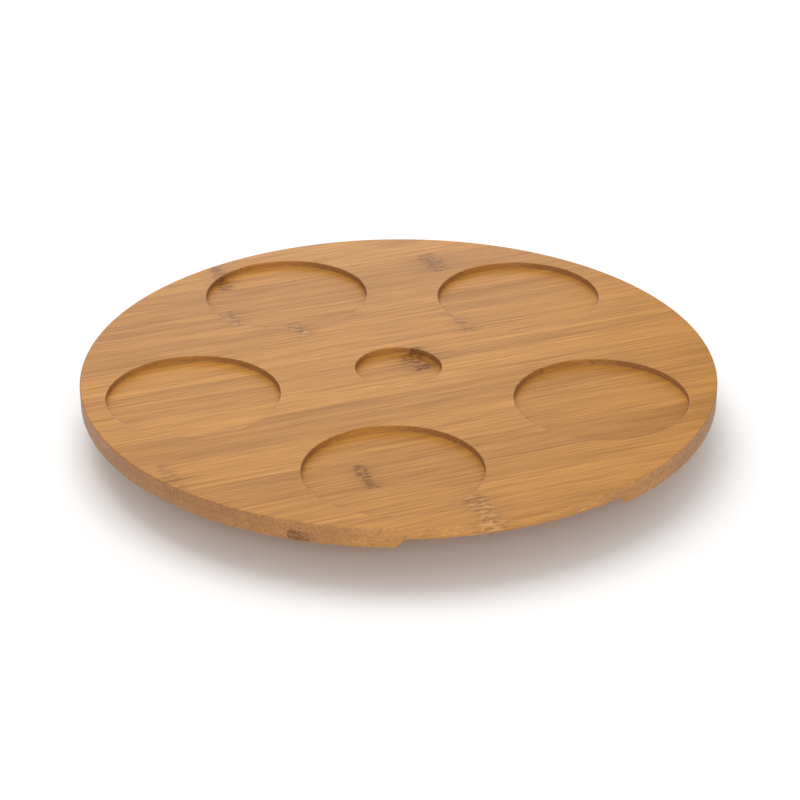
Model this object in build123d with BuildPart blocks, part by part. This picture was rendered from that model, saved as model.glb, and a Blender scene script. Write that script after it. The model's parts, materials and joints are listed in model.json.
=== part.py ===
from build123d import *
import math
import os

# Lazy susan: a round two-ply bamboo board that turns on a ring ball bearing over a
# smaller two-ply bamboo base with rubber feet.
# Millimetres. +Z is up along the spin axis, +X is along the bamboo's grain, and the
# origin is on the spin axis at the surface that the feet stand on.

os.makedirs("parts", exist_ok=True)

# Driving dimensions: bamboo
ply = 4.75  # one bamboo ply; the board and the base are two plies each
board_radius = 150.0
base_radius = 95.0
edge_round = 0.5  # sanded arris round the board's rim
mouth_round = 0.3  # sanded arris round each recess
base_edge_round = 1.5

# Driving dimensions: recesses in the board's top
recess_depth = 3.0
dish_recess_radius = 40.4
dish_recess_orbit = 99.2
dish_recess_count = 5
dish_recess_turn = 31.6  # degrees from the grain to the first recess
centre_recess_radius = 20.5

# Driving dimensions: finger grips cut up into the board's underside at the rim
grip_depth = 3.9
grip_roof_half_length = 49.3
grip_inset = 16.0  # how far the roof reaches in from the rim
grip_slope = 3.9  # the ends and the back wall lean out by this much, so they slope at 45 degrees
grip_turn = -0.7  # degrees between the grips' line and the square to the grain
grip_mouth_round = 1.5

# Driving dimensions: feet
foot_height = 3.0
foot_top_radius = 8.0
foot_tread_radius = 6.8
foot_orbit = 82.0
foot_count = 6

# Driving dimensions: ring bearing
bearing_height = 8.5
race_gap = 0.5  # each race stands this clear of the wooden disc that it isn't screwed to
ball_radius = 2.0
ball_orbit = 60.0
ball_count = 24
groove_radius = ball_radius + 0.05
pocket_radius = ball_radius + 0.08
outer_race_radius = 70.0
inner_race_bore = 48.0
race_wall_offset = 0.9  # each race's wall stands off the ball circle by this
cage_half_thickness = 0.6
cage_half_height = 3.0

# Driving dimensions: fasteners
screw_radius = 1.5
screw_head_radius = 3.0
screw_head_land = 0.3
screw_clearance_radius = 1.75
board_screw_length = 12.0
base_screw_length = 15.0
screw_point = 1.5
slot_length = 3.2
slot_width = 0.7
slot_depth = 1.1
rivet_radius = 1.5
rivet_head_radius = 2.6
fastener_count = 6
inner_fastener_orbit = 53.5
outer_fastener_orbit = 66.0

# Heights that follow
base_bottom = foot_height
base_middle = base_bottom + ply
base_top = base_middle + ply
board_bottom = base_top + bearing_height
board_middle = board_bottom + ply
board_top = board_middle + ply
ball_height = base_top + bearing_height / 2
inner_race_bottom = base_top + race_gap
outer_race_top = board_bottom - race_gap
fastener_pitch = 360 / fastener_count
countersink_radius = screw_head_radius + screw_head_land


def facing_down(height):
    """A plane at this height whose normal points down, for holes made from below."""
    return Plane(origin=(0, 0, height), x_dir=(1, 0, 0), z_dir=(0, 0, -1))


# Board, top ply: five dish recesses and a small centre recess
with BuildPart() as board_top_ply:
    with BuildSketch(Plane.XY.offset(board_middle)):
        Circle(board_radius)
    extrude(amount=ply)
    rim = board_top_ply.edges().group_by(Axis.Z)[-1]
    fillet(rim, radius=edge_round)
    with BuildSketch(Plane.XY.offset(board_top - recess_depth)):
        Circle(centre_recess_radius)
        with PolarLocations(dish_recess_orbit, dish_recess_count, dish_recess_turn):
            Circle(dish_recess_radius)
    extrude(amount=recess_depth, mode=Mode.SUBTRACT)
    top_circles = board_top_ply.edges().group_by(Axis.Z)[-1].filter_by(GeomType.CIRCLE)
    fillet(top_circles.filter_by(lambda e: e.radius < board_radius / 2), radius=mouth_round)
board_top_ply.part.label = "board_top_ply"
export_step(board_top_ply.part, "parts/board_top_ply.step")

# What one finger grip takes away: a pocket whose ends and back lean out as it goes down,
# with a round where they meet the underside. It lies along +X and runs out past the rim.
grip_back = board_radius - grip_inset
grip_reach = board_radius + grip_inset
with BuildPart() as grip_pocket:
    with BuildSketch(Plane.XY.offset(board_bottom + grip_depth)):
        with Locations(((grip_back + grip_reach) / 2, 0)):
            Rectangle(grip_reach - grip_back, 2 * grip_roof_half_length)
    with BuildSketch(Plane.XY.offset(board_bottom)):
        with Locations(((grip_back - grip_slope + grip_reach) / 2, 0)):
            Rectangle(
                grip_reach - grip_back + grip_slope,
                2 * (grip_roof_half_length + grip_slope),
            )
    loft()
    with BuildSketch(Plane.XY.offset(board_bottom)):
        with Locations((grip_back, 0)):
            Rectangle(4 * grip_inset, 4 * grip_roof_half_length)
    extrude(amount=-ply)
    mouth = grip_pocket.edges().filter_by_position(
        Axis.Z, board_bottom - 0.01, board_bottom + 0.01
    )
    mouth = mouth.filter_by_position(Axis.X, grip_back - grip_inset, grip_reach - 1)
    mouth = mouth.filter_by(lambda e: abs(e.center().Y) < 1.5 * grip_roof_half_length)
    fillet(mouth, radius=grip_mouth_round)

# Board, bottom ply: two finger grips opposite each other, and the bearing's pilot holes
with BuildPart() as board_bottom_ply:
    with BuildSketch(Plane.XY.offset(board_bottom)):
        Circle(board_radius)
    extrude(amount=ply)
    rim = board_bottom_ply.edges().group_by(Axis.Z)[0]
    fillet(rim, radius=edge_round)
    for side in (-90, 90):
        add(grip_pocket.part.rotate(Axis.Z, side + grip_turn), mode=Mode.SUBTRACT)
    with Locations(facing_down(board_bottom)):
        with PolarLocations(inner_fastener_orbit, fastener_count):
            Hole(screw_radius, depth=board_screw_length - (board_bottom - inner_race_bottom))
board_bottom_ply.part.label = "board_bottom_ply"
export_step(board_bottom_ply.part, "parts/board_bottom_ply.step")

# Base, top ply: clearance holes for the screws that hold the outer race
with BuildPart() as base_top_ply:
    with BuildSketch(Plane.XY.offset(base_middle)):
        Circle(base_radius)
        with PolarLocations(outer_fastener_orbit, fastener_count):
            Circle(screw_clearance_radius, mode=Mode.SUBTRACT)
    extrude(amount=ply)
    rim = base_top_ply.edges().group_by(Axis.Z)[-1].sort_by(SortBy.RADIUS)[-1]
    fillet(rim, radius=base_edge_round)
base_top_ply.part.label = "base_top_ply"
export_step(base_top_ply.part, "parts/base_top_ply.step")

# Base, bottom ply: the same holes, countersunk from below
with BuildPart() as base_bottom_ply:
    with BuildSketch(Plane.XY.offset(base_bottom)):
        Circle(base_radius)
    extrude(amount=ply)
    rim = base_bottom_ply.edges().group_by(Axis.Z)[0]
    fillet(rim, radius=base_edge_round)
    with Locations(facing_down(base_bottom)):
        with PolarLocations(outer_fastener_orbit, fastener_count):
            CounterSinkHole(
                screw_clearance_radius, countersink_radius, counter_sink_angle=90
            )
base_bottom_ply.part.label = "base_bottom_ply"
export_step(base_bottom_ply.part, "parts/base_bottom_ply.step")

# Outer race: one aluminium ring, tapped from below, with the ball groove in its bore
with BuildPart() as bearing_outer_race:
    with BuildSketch(Plane.XY.offset(base_top)):
        Circle(outer_race_radius)
        Circle(ball_orbit + race_wall_offset, mode=Mode.SUBTRACT)
    extrude(amount=outer_race_top - base_top)
    chamfer(bearing_outer_race.edges().filter_by(GeomType.CIRCLE), length=0.4)
    with Locations((0, 0, ball_height)):
        Torus(ball_orbit, groove_radius, mode=Mode.SUBTRACT)
    with Locations(facing_down(base_top)):
        with PolarLocations(outer_fastener_orbit, fastener_count):
            Hole(screw_radius, depth=base_screw_length - 2 * ply)
bearing_outer_race.part.label = "bearing_outer_race"
export_step(bearing_outer_race.part, "parts/bearing_outer_race.step")

# Inner race: two aluminium halves that meet at the ball circle's height, so that the
# balls can be put in before the halves are riveted together. Board screws and rivets
# take turns round the ring.
inner_race_wall = ball_orbit - race_wall_offset

with BuildPart() as bearing_inner_lower_race:
    with BuildSketch(Plane.XY.offset(inner_race_bottom)):
        Circle(inner_race_wall)
        Circle(inner_race_bore, mode=Mode.SUBTRACT)
    extrude(amount=ball_height - inner_race_bottom)
    chamfer(bearing_inner_lower_race.edges().group_by(Axis.Z)[0], length=0.4)
    with Locations((0, 0, ball_height)):
        Torus(ball_orbit, groove_radius, mode=Mode.SUBTRACT)
    with Locations(facing_down(inner_race_bottom)):
        with PolarLocations(inner_fastener_orbit, fastener_count):
            CounterSinkHole(
                screw_clearance_radius, countersink_radius, counter_sink_angle=90
            )
        with PolarLocations(inner_fastener_orbit, fastener_count, fastener_pitch / 2):
            CounterSinkHole(rivet_radius, rivet_head_radius, counter_sink_angle=90)
bearing_inner_lower_race.part.label = "bearing_inner_lower_race"
export_step(bearing_inner_lower_race.part, "parts/bearing_inner_lower_race.step")

with BuildPart() as bearing_inner_upper_race:
    with BuildSketch(Plane.XY.offset(ball_height)):
        Circle(inner_race_wall)
        Circle(inner_race_bore, mode=Mode.SUBTRACT)
        with PolarLocations(inner_fastener_orbit, fastener_count):
            Circle(screw_clearance_radius, mode=Mode.SUBTRACT)
    extrude(amount=board_bottom - ball_height)
    top_rims = bearing_inner_upper_race.edges().group_by(Axis.Z)[-1]
    chamfer(top_rims.filter_by(lambda e: e.radius > inner_race_bore / 2), length=0.4)
    with Locations((0, 0, ball_height)):
        Torus(ball_orbit, groove_radius, mode=Mode.SUBTRACT)
    with Locations(Plane.XY.offset(board_bottom)):
        with PolarLocations(inner_fastener_orbit, fastener_count, fastener_pitch / 2):
            CounterSinkHole(rivet_radius, rivet_head_radius, counter_sink_angle=90)
bearing_inner_upper_race.part.label = "bearing_inner_upper_race"
export_step(bearing_inner_upper_race.part, "parts/bearing_inner_upper_race.step")

# Rivets: flush heads at both faces of the inner race
rivet_head_height = rivet_head_radius - rivet_radius
rivet_length = board_bottom - inner_race_bottom
with BuildPart(Plane.XY.offset(inner_race_bottom)) as bearing_rivets:
    with PolarLocations(inner_fastener_orbit, fastener_count, fastener_pitch / 2):
        Cylinder(rivet_radius, rivet_length, align=(Align.CENTER, Align.CENTER, Align.MIN))
        Cone(
            rivet_head_radius,
            rivet_radius,
            rivet_head_height,
            align=(Align.CENTER, Align.CENTER, Align.MIN),
        )
        with Locations((0, 0, rivet_length)):
            Cone(
                rivet_radius,
                rivet_head_radius,
                rivet_head_height,
                align=(Align.CENTER, Align.CENTER, Align.MAX),
            )
bearing_rivets.part.label = "bearing_rivets"
export_step(bearing_rivets.part, "parts/bearing_rivets.step")


def countersunk_screws(head_height, orbit, length, point):
    """Six screws driven upwards, heads flush at head_height, with a cross slot each.

    The thread is a plain shank. point is the length of the taper at the tip.
    """
    seat = (Align.CENTER, Align.CENTER, Align.MIN)
    head_cone = screw_head_radius - screw_radius
    with BuildPart(Plane.XY.offset(head_height)) as screws:
        with PolarLocations(orbit, fastener_count):
            Cylinder(screw_head_radius, screw_head_land, align=seat)
            Cylinder(screw_radius, length - point, align=seat)
            with Locations((0, 0, screw_head_land)):
                Cone(screw_head_radius, screw_radius, head_cone, align=seat)
            with Locations((0, 0, length - point)):
                Cone(screw_radius, screw_radius / 3, point, align=seat)
            Box(slot_length, slot_width, slot_depth, align=seat, mode=Mode.SUBTRACT)
            Box(slot_width, slot_length, slot_depth, align=seat, mode=Mode.SUBTRACT)
    return screws.part


# Board screws: wood screws up through the inner race into the board's bottom ply
board_screws = countersunk_screws(
    inner_race_bottom, inner_fastener_orbit, board_screw_length, screw_point
)
board_screws.label = "board_screws"
export_step(board_screws, "parts/board_screws.step")

# Base screws: up through the base into the outer race's tapped holes
base_screws = countersunk_screws(
    base_bottom, outer_fastener_orbit, base_screw_length, screw_point / 3
)
base_screws.label = "base_screws"
export_step(base_screws, "parts/base_screws.step")

# Ball cage: a thin plastic ring between the races with a round pocket for each ball
with BuildPart() as ball_cage:
    with BuildSketch(Plane.XY.offset(ball_height - cage_half_height)):
        Circle(ball_orbit + cage_half_thickness)
        Circle(ball_orbit - cage_half_thickness, mode=Mode.SUBTRACT)
    extrude(amount=2 * cage_half_height)
    with Locations((0, 0, ball_height)):
        with PolarLocations(ball_orbit, ball_count):
            Cylinder(
                pocket_radius,
                4 * cage_half_thickness,
                rotation=(0, 90, 0),
                mode=Mode.SUBTRACT,
            )
ball_cage.part.label = "ball_cage"
export_step(ball_cage.part, "parts/ball_cage.step")

# Balls: steel, one node each
for number in range(ball_count):
    turn = math.radians(360 / ball_count * number)
    with BuildPart() as ball:
        with Locations((ball_orbit * math.cos(turn), ball_orbit * math.sin(turn), ball_height)):
            Sphere(ball_radius)
    ball.part.label = f"ball_{number + 1:02d}"
    export_step(ball.part, f"parts/ball_{number + 1:02d}.step")

# Feet: tapered rubber pads stuck under the base, between the base screws
for number in range(foot_count):
    turn = math.radians(360 / foot_count * (number + 0.5))
    with BuildPart() as foot:
        with Locations((foot_orbit * math.cos(turn), foot_orbit * math.sin(turn), 0)):
            Cone(
                foot_tread_radius,
                foot_top_radius,
                foot_height,
                align=(Align.CENTER, Align.CENTER, Align.MIN),
            )
        fillet(foot.edges().group_by(Axis.Z)[0], radius=0.6)
    foot.part.label = f"foot_{number + 1}"
    export_step(foot.part, f"parts/foot_{number + 1}.step")
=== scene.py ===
"""Looks for a bamboo lazy susan: fine meshes, finishes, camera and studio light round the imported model.

Everything is in metres in the model's own frame: +Z up along the spin axis, +X along the board's grain, and the
origin on the spin axis at the surface that the feet stand on.
"""

from __future__ import annotations

import json
import logging
import math
from collections.abc import Sequence
from dataclasses import dataclass
from enum import Enum

import bmesh
import bpy
import numpy as np
from mathutils import Matrix, Vector

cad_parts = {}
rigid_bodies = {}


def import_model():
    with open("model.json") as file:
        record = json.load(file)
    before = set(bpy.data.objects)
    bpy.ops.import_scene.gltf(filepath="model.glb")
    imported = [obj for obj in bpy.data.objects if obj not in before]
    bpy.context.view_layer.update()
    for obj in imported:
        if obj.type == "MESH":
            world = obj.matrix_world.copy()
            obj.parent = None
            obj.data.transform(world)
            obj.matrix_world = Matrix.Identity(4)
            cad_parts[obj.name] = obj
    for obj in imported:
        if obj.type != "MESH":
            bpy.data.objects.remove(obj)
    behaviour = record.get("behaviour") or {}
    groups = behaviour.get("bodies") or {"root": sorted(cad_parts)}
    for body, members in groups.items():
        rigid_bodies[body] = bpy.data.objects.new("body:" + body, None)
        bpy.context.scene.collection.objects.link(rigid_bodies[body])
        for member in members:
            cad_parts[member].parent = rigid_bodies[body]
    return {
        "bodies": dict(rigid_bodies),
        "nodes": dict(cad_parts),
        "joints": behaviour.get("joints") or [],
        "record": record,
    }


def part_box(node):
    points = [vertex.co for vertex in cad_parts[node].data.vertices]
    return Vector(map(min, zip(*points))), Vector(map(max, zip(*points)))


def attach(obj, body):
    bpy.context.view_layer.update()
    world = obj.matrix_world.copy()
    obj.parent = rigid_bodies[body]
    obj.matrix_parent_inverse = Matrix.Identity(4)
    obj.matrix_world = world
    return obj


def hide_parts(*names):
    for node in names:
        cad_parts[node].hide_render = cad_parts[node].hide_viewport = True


LOG = logging.getLogger("lazy_susan")
MM = 0.001  # metres in a millimetre
WELD = 1.7e-7  # metres: nearer points are one point; not a round number, so no round size falls between two cells
SUPPORT = 0.35 * MM  # width of the narrow loop that keeps a rounding's shading off the flat beside it


class Body(Enum):
    """The bodies that pieces ride on."""

    TURNTABLE = "turntable"
    CAGE = "cage"
    BASE = "base"


class Slot(Enum):
    """The record's material slots."""

    BOARD_TOP = "bamboo_top"
    BOARD_BOTTOM = "bamboo_bottom"
    BASE = "bamboo_base"
    RACE = "race_aluminium"
    RIVET = "rivet_aluminium"
    SCREW = "zinc_steel"
    BALL = "ball_steel"
    CAGE = "cage_nylon"
    FOOT = "foot_rubber"


# ---------------------------------------------------------------------------------------------------------------
# Mesh tools
# ---------------------------------------------------------------------------------------------------------------


def arc(centre: tuple[float, float], radius: float, start: float, end: float, steps: int) -> np.ndarray:
    """Points of an arc in the (r, z) plane: centre + radius (cos a, sin a), for a from start to end.

    Args:
        centre: The arc's centre.
        radius: Its radius.
        start: First angle, in degrees.
        end: Last angle, in degrees.
        steps: Number of chords.

    Returns:
        (steps + 1, 2) points.
    """
    a = np.radians(np.linspace(start, end, steps + 1))
    return np.stack([centre[0] + radius * np.cos(a), centre[1] + radius * np.sin(a)], axis=-1)


def carried_round(profile: np.ndarray, angles: np.ndarray) -> np.ndarray:
    """Carries a profile round the Z axis: a point (r, z) goes to (r cos a, r sin a, z) at each angle a.

    Args:
        profile: (rows, 2) radii and heights.
        angles: (columns,) angles in radians, increasing.

    Returns:
        A (rows, columns + 1, 3) grid whose last column repeats the first.
    """
    closed = np.append(angles, angles[0] + 2 * math.pi)
    radius, height = profile[:, :1], profile[:, 1:]
    level = np.broadcast_to(height, (len(profile), len(closed)))
    return np.stack([radius * np.cos(closed), radius * np.sin(closed), level], axis=-1)


def turned(grid: np.ndarray, degrees: float) -> np.ndarray:
    """Turns a grid of points about the Z axis.

    Args:
        grid: (..., 3) points.
        degrees: The turn, counterclockwise from above.

    Returns:
        The turned points.
    """
    turn = math.radians(degrees)
    spin = np.array([[math.cos(turn), math.sin(turn)], [-math.sin(turn), math.cos(turn)]])
    return np.concatenate([grid[..., :2] @ spin, grid[..., 2:]], axis=-1)


def ring_of(grids: Sequence[np.ndarray], orbit: float, count: int, first: float = 0.0) -> list[np.ndarray]:
    """Copies grids built on the Z axis to evenly spaced places on a circle.

    Args:
        grids: (..., 3) points about the Z axis.
        orbit: The circle's radius.
        count: How many places.
        first: Angle of the first place, in degrees.

    Returns:
        The moved copies.
    """
    out = [grid + np.array([orbit, 0.0, 0.0]) for grid in grids]
    return [turned(grid, first + 360 / count * k) for k in range(count) for grid in out]


def sewn(name: str, grids: Sequence[np.ndarray], sharp: float = 40.0) -> bpy.types.Object:
    """Sews grids of points into closed shells in one mesh.

    Each grid's neighbouring points make a quad. Points that coincide are merged, so a quad that a pole or a seam
    has folded to three corners becomes a triangle, and one folded further is dropped.

    Args:
        name: The new object's name.
        grids: (rows, columns, 3) arrays of points in metres.
        sharp: Edges that turn by more than this many degrees are shaded sharp.

    Returns:
        The new object, at the origin.
    """
    quads, first = [], 0
    for grid in grids:
        rows, columns = grid.shape[:2]
        at = first + np.arange(rows * columns).reshape(rows, columns)
        quads.append(np.stack([at[:-1, :-1], at[:-1, 1:], at[1:, 1:], at[1:, :-1]], axis=-1).reshape(-1, 4))
        first += rows * columns
    cloud = np.concatenate([grid.reshape(-1, 3) for grid in grids])
    cells = np.round(cloud / WELD).astype(np.int64)
    _, kept, merged = np.unique(cells, axis=0, return_index=True, return_inverse=True)
    corners = merged.reshape(-1)[np.concatenate(quads)]
    folds = corners == np.roll(corners, 1, axis=1)
    crossed = (corners[:, 0] == corners[:, 2]) | (corners[:, 1] == corners[:, 3])
    whole = corners[~folds.any(axis=1) & ~crossed]
    once = (folds.sum(axis=1) == 1) & ~crossed
    thirds = corners[once][~folds[once]].reshape(-1, 3)
    mesh = bpy.data.meshes.new(name)
    mesh.from_pydata(cloud[kept].tolist(), [], whole.tolist() + thirds.tolist())
    work = bmesh.new()
    work.from_mesh(mesh)
    bmesh.ops.recalc_face_normals(work, faces=work.faces)
    work.to_mesh(mesh)
    work.free()
    mesh.polygons.foreach_set("use_smooth", np.ones(len(mesh.polygons), dtype=bool))
    mesh.set_sharp_from_angle(angle=math.radians(sharp))
    piece = bpy.data.objects.new(name, mesh)
    bpy.context.scene.collection.objects.link(piece)
    return piece


@dataclass(frozen=True)
class DrilledDisc:
    """A turned part with a ring of equal holes or sinkings in one flat face.

    The face is cut into one sector for each hole. In a sector, a point of the hole's mouth is joined to the point
    of the sector's edge that lies in the same direction from the hole, with the points between in proportion.
    The other surfaces are profiles carried round the axis.

    Attributes:
        face: Height of the drilled face.
        inner: Inner radius of its flat.
        outer: Outer radius of its flat.
        orbit: Radius of the ring of holes.
        count: How many holes.
        first: Angle of the first one, in degrees.
        holes: Profiles that take turns round the ring, each (rows, 2) distances from the hole's axis and heights,
            from its mouth inwards.
        bodies: The profiles carried round, each (rows, 2) radii and heights.
        steps: Points along each sector's rim.
        far_face: Height, inner and outer radius of the face where a through hole comes out.
    """

    face: float
    inner: float
    outer: float
    orbit: float
    count: int
    first: float
    holes: tuple[np.ndarray, ...]
    bodies: tuple[np.ndarray, ...]
    steps: int = 96
    far_face: tuple[float, float, float] | None = None

    def rim_angles(self) -> np.ndarray:
        """Angles of the points along one sector's rim, about +X, without the last."""
        half = math.pi / self.count
        return np.linspace(-half, half, self.steps, endpoint=False)

    def edge(self, inner: float, outer: float) -> np.ndarray:
        """The closed edge of a sector about +X, counterclockwise from its rim's start.

        Args:
            inner: The sector's inner radius.
            outer: Its outer radius.

        Returns:
            (points, 2) points; the last repeats the first.
        """
        half = math.pi / self.count
        rim = self.rim_angles()
        share = np.linspace(0.0, 1.0, self.steps // 4, endpoint=False)[:, None]
        near, far = np.array([math.cos(half), math.sin(half)]), np.array([math.cos(half), -math.sin(half)])
        loop = np.concatenate(
            [
                outer * np.stack([np.cos(rim), np.sin(rim)], axis=-1),
                (outer + (inner - outer) * share) * near,
                inner * np.stack([np.cos(rim), -np.sin(rim)], axis=-1),
                (inner + (outer - inner) * share) * far,
            ]
        )
        return np.concatenate([loop, loop[:1]])

    def flat(self, height: float, inner: float, outer: float, mouth: float, ways: np.ndarray) -> np.ndarray:
        """The flat of one sector, from the hole's mouth to the sector's edge.

        Args:
            height: The face's height.
            inner: The sector's inner radius.
            outer: Its outer radius.
            mouth: The hole's radius in this face.
            ways: Unit directions of the mouth's points from the hole's axis.

        Returns:
            A grid of points.
        """
        centre = np.array([self.orbit, 0.0])
        start = centre + mouth * ways
        loop = centre + (mouth + SUPPORT) * ways
        share = np.linspace(0.0, 1.0, 6)[:, None, None]
        plan = np.concatenate([start[None], loop + (self.edge(inner, outer) - loop) * share])
        return np.concatenate([plan, np.full(plan.shape[:2] + (1,), height)], axis=-1)

    def sector(self, hole: np.ndarray) -> list[np.ndarray]:
        """The surfaces of one sector about +X.

        Args:
            hole: Its hole's profile.

        Returns:
            The flat, the hole's wall and, for a through hole, the flat where it comes out.
        """
        centre = np.array([self.orbit, 0.0])
        ways = self.edge(self.inner, self.outer) - centre
        ways /= np.linalg.norm(ways, axis=1, keepdims=True)
        wall = centre + hole[:, None, :1] * ways
        level = np.broadcast_to(hole[:, 1][:, None, None], wall.shape[:2] + (1,))
        made = [
            self.flat(self.face, self.inner, self.outer, hole[0, 0], ways),
            np.concatenate([wall, level], axis=-1),
        ]
        if self.far_face:
            made.append(self.flat(*self.far_face, hole[-1, 0], ways))
        return made

    def grids(self) -> list[np.ndarray]:
        """Every surface of the part as grids of points."""
        kinds = [self.sector(hole) for hole in self.holes]
        pitch = 360 / self.count
        made = [turned(grid, self.first + pitch * k) for k in range(self.count) for grid in kinds[k % len(kinds)]]
        turns = np.radians(self.first + pitch * np.arange(self.count))
        angles = (self.rim_angles()[None] + turns[:, None]).ravel()
        return made + [carried_round(body, angles) for body in self.bodies]


def recess_profile(radius: float, face: float, depth: float, mouth: float, corner: float) -> np.ndarray:
    """A flat-floored recess in an upper face: a rounded arris, an upright wall, a small corner and the floor.

    Args:
        radius: The wall's radius.
        face: Height of the face.
        depth: Depth of the floor.
        mouth: Radius of the arris.
        corner: Radius where the wall meets the floor.

    Returns:
        (rows, 2) radii and heights, from the mouth to the middle of the floor.
    """
    floor = face - depth
    over = arc((radius + mouth, face - mouth), mouth, 90, 180, 5)
    under = arc((radius - corner, floor + corner), corner, 0, -90, 4)
    wall = [[radius, face - mouth - SUPPORT], [radius, face - depth / 2], [radius, floor + corner + SUPPORT]]
    end = [[radius - corner - SUPPORT, floor], [radius / 2, floor], [0.0, floor]]
    return np.concatenate([over, wall, under, end])


def rim_profile(radius: float, face: float, back: float, face_round: float, back_round: float) -> np.ndarray:
    """A round board's rim: from one flat, over its arris, along the wall and over the other arris.

    Args:
        radius: The rim's radius.
        face: Height of the face it starts from.
        back: Height of the face it ends on.
        face_round: Radius of the first arris.
        back_round: Radius of the last.

    Returns:
        (rows, 2) radii and heights, with a narrow strip of each flat.
    """
    way = math.copysign(1.0, face - back)
    over = arc((radius - face_round, 0.0), face_round, 90, 0, 6)
    over[:, 1] = face + way * (over[:, 1] - face_round)
    under = arc((radius - back_round, 0.0), back_round, 0, -90, 6)
    under[:, 1] = back + way * (under[:, 1] + back_round)
    wall = over[-1] + (under[0] - over[-1]) * np.array([0.12, 0.5, 0.88])[:, None]
    start, end = [[radius - face_round - SUPPORT, face]], [[radius - back_round - SUPPORT, back]]
    return np.concatenate([start, over, wall, under, end])


@dataclass(frozen=True)
class GrippedDisc:
    """The board's lower ply: a disc with two finger grips cut up into its underside at opposite ends.

    The underside is a grid of lines along and across the grips. Its height at a point depends on the distance d
    inside a grip's mouth: level, then a round, then a 45 degree slope, then the level roof. Of the distances from
    the grip's end and from its back, the smaller counts.

    Attributes:
        radius: Rim radius.
        bottom: Height of the underside.
        top: Height of the glued face.
        edge_round: Radius of the arris round the underside.
        seam_round: Radius of the arris at the glue line.
        roof_half_length: Half of the grip's length at its roof.
        inset: How far the roof reaches in from the rim.
        depth: Height of the roof above the underside.
        mouth_round: Radius where the slopes meet the underside.
        turn: Angle of the grips' long side from +X, in degrees.
        steps: Lines across half the rim.
    """

    radius: float
    bottom: float
    top: float
    edge_round: float
    seam_round: float
    roof_half_length: float
    inset: float
    depth: float
    mouth_round: float
    turn: float
    steps: int = 240

    @property
    def lead(self) -> float:
        """How far before the mouth's corner its round begins."""
        return self.mouth_round * math.tan(math.radians(22.5))

    def lift(self, inside: np.ndarray) -> np.ndarray:
        """Height above the underside at a distance inside the grip's mouth."""
        run = np.maximum(inside + self.lead, 0.0)
        bend = self.mouth_round - np.sqrt(np.maximum(self.mouth_round**2 - run**2, 0.0))
        return np.where(inside < self.lead * math.sqrt(0.5), bend, np.minimum(inside, self.depth))

    def breaks(self) -> np.ndarray:
        """Distances inside the mouth where the grid needs a line."""
        bend = np.linspace(-self.lead, self.lead * math.sqrt(0.5), 6)
        return np.concatenate([[bend[0] - SUPPORT], bend, [self.depth / 2, self.depth, self.depth + SUPPORT]])

    def underside(self) -> np.ndarray:
        """The (rows, columns, 3) grid of the underside, before its turn."""
        reach = self.radius - self.edge_round
        mouth_half = self.roof_half_length + self.depth
        mouth_back = self.radius - self.inset - self.depth
        across = mouth_half - self.breaks()
        lines = np.arccos(np.concatenate([across, -across]) / reach)
        even = np.linspace(0.0, math.pi, self.steps + 1)
        clear = np.abs(even[:, None] - lines).min(axis=1) > 0.25 * math.pi / self.steps
        t = np.sort(np.concatenate([even[clear], lines]))
        x, end = reach * np.cos(t), reach * np.sin(t)
        widest = math.sqrt(reach**2 - (mouth_half + self.mouth_round) ** 2)
        fit = np.minimum(1.0, end / widest)
        inner = (mouth_back + self.breaks())[:, None] * fit
        outer = inner[-1] + (end - inner[-1]) * np.linspace(0.0, 1.0, 5)[1:, None]
        middle = inner[0] * np.linspace(-1.0, 1.0, 14)[1:-1, None]
        half = np.concatenate([inner, outer])
        y = np.concatenate([-half[::-1], middle, half])
        inside = np.minimum(mouth_half - np.abs(x), np.abs(y) - mouth_back)
        return np.stack([np.broadcast_to(x, y.shape), y, self.bottom + self.lift(inside)], axis=-1)

    def grids(self) -> list[np.ndarray]:
        """Every surface of the ply as grids of points, turned into place."""
        flat = self.underside()
        loop = np.concatenate([flat[-1], flat[0, ::-1][1:]])
        out = loop[:, :2] / np.linalg.norm(loop[:, :2], axis=1, keepdims=True)
        low = loop[:, 2]
        under = arc((self.radius - self.edge_round, self.edge_round), self.edge_round, -90, 0, 6)
        over = arc((self.radius - self.seam_round, -self.seam_round), self.seam_round, 0, 90, 4)
        start, stop = low + self.edge_round, self.top - self.seam_round
        rows = [(r, low + z) for r, z in under]
        rows += [(self.radius, start + (stop - start) * share) for share in (0.12, 0.4, 0.7, 0.92)]
        rows += [(r, np.full_like(low, self.top + z)) for r, z in over]
        inward = (self.radius - self.seam_round - SUPPORT, self.radius / 2, 0.0)
        rows += [(r, np.full_like(low, self.top)) for r in inward]
        rim = np.stack([np.concatenate([out * r, z[:, None]], axis=1) for r, z in rows])
        return [turned(grid, self.turn) for grid in (flat, rim)]


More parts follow.
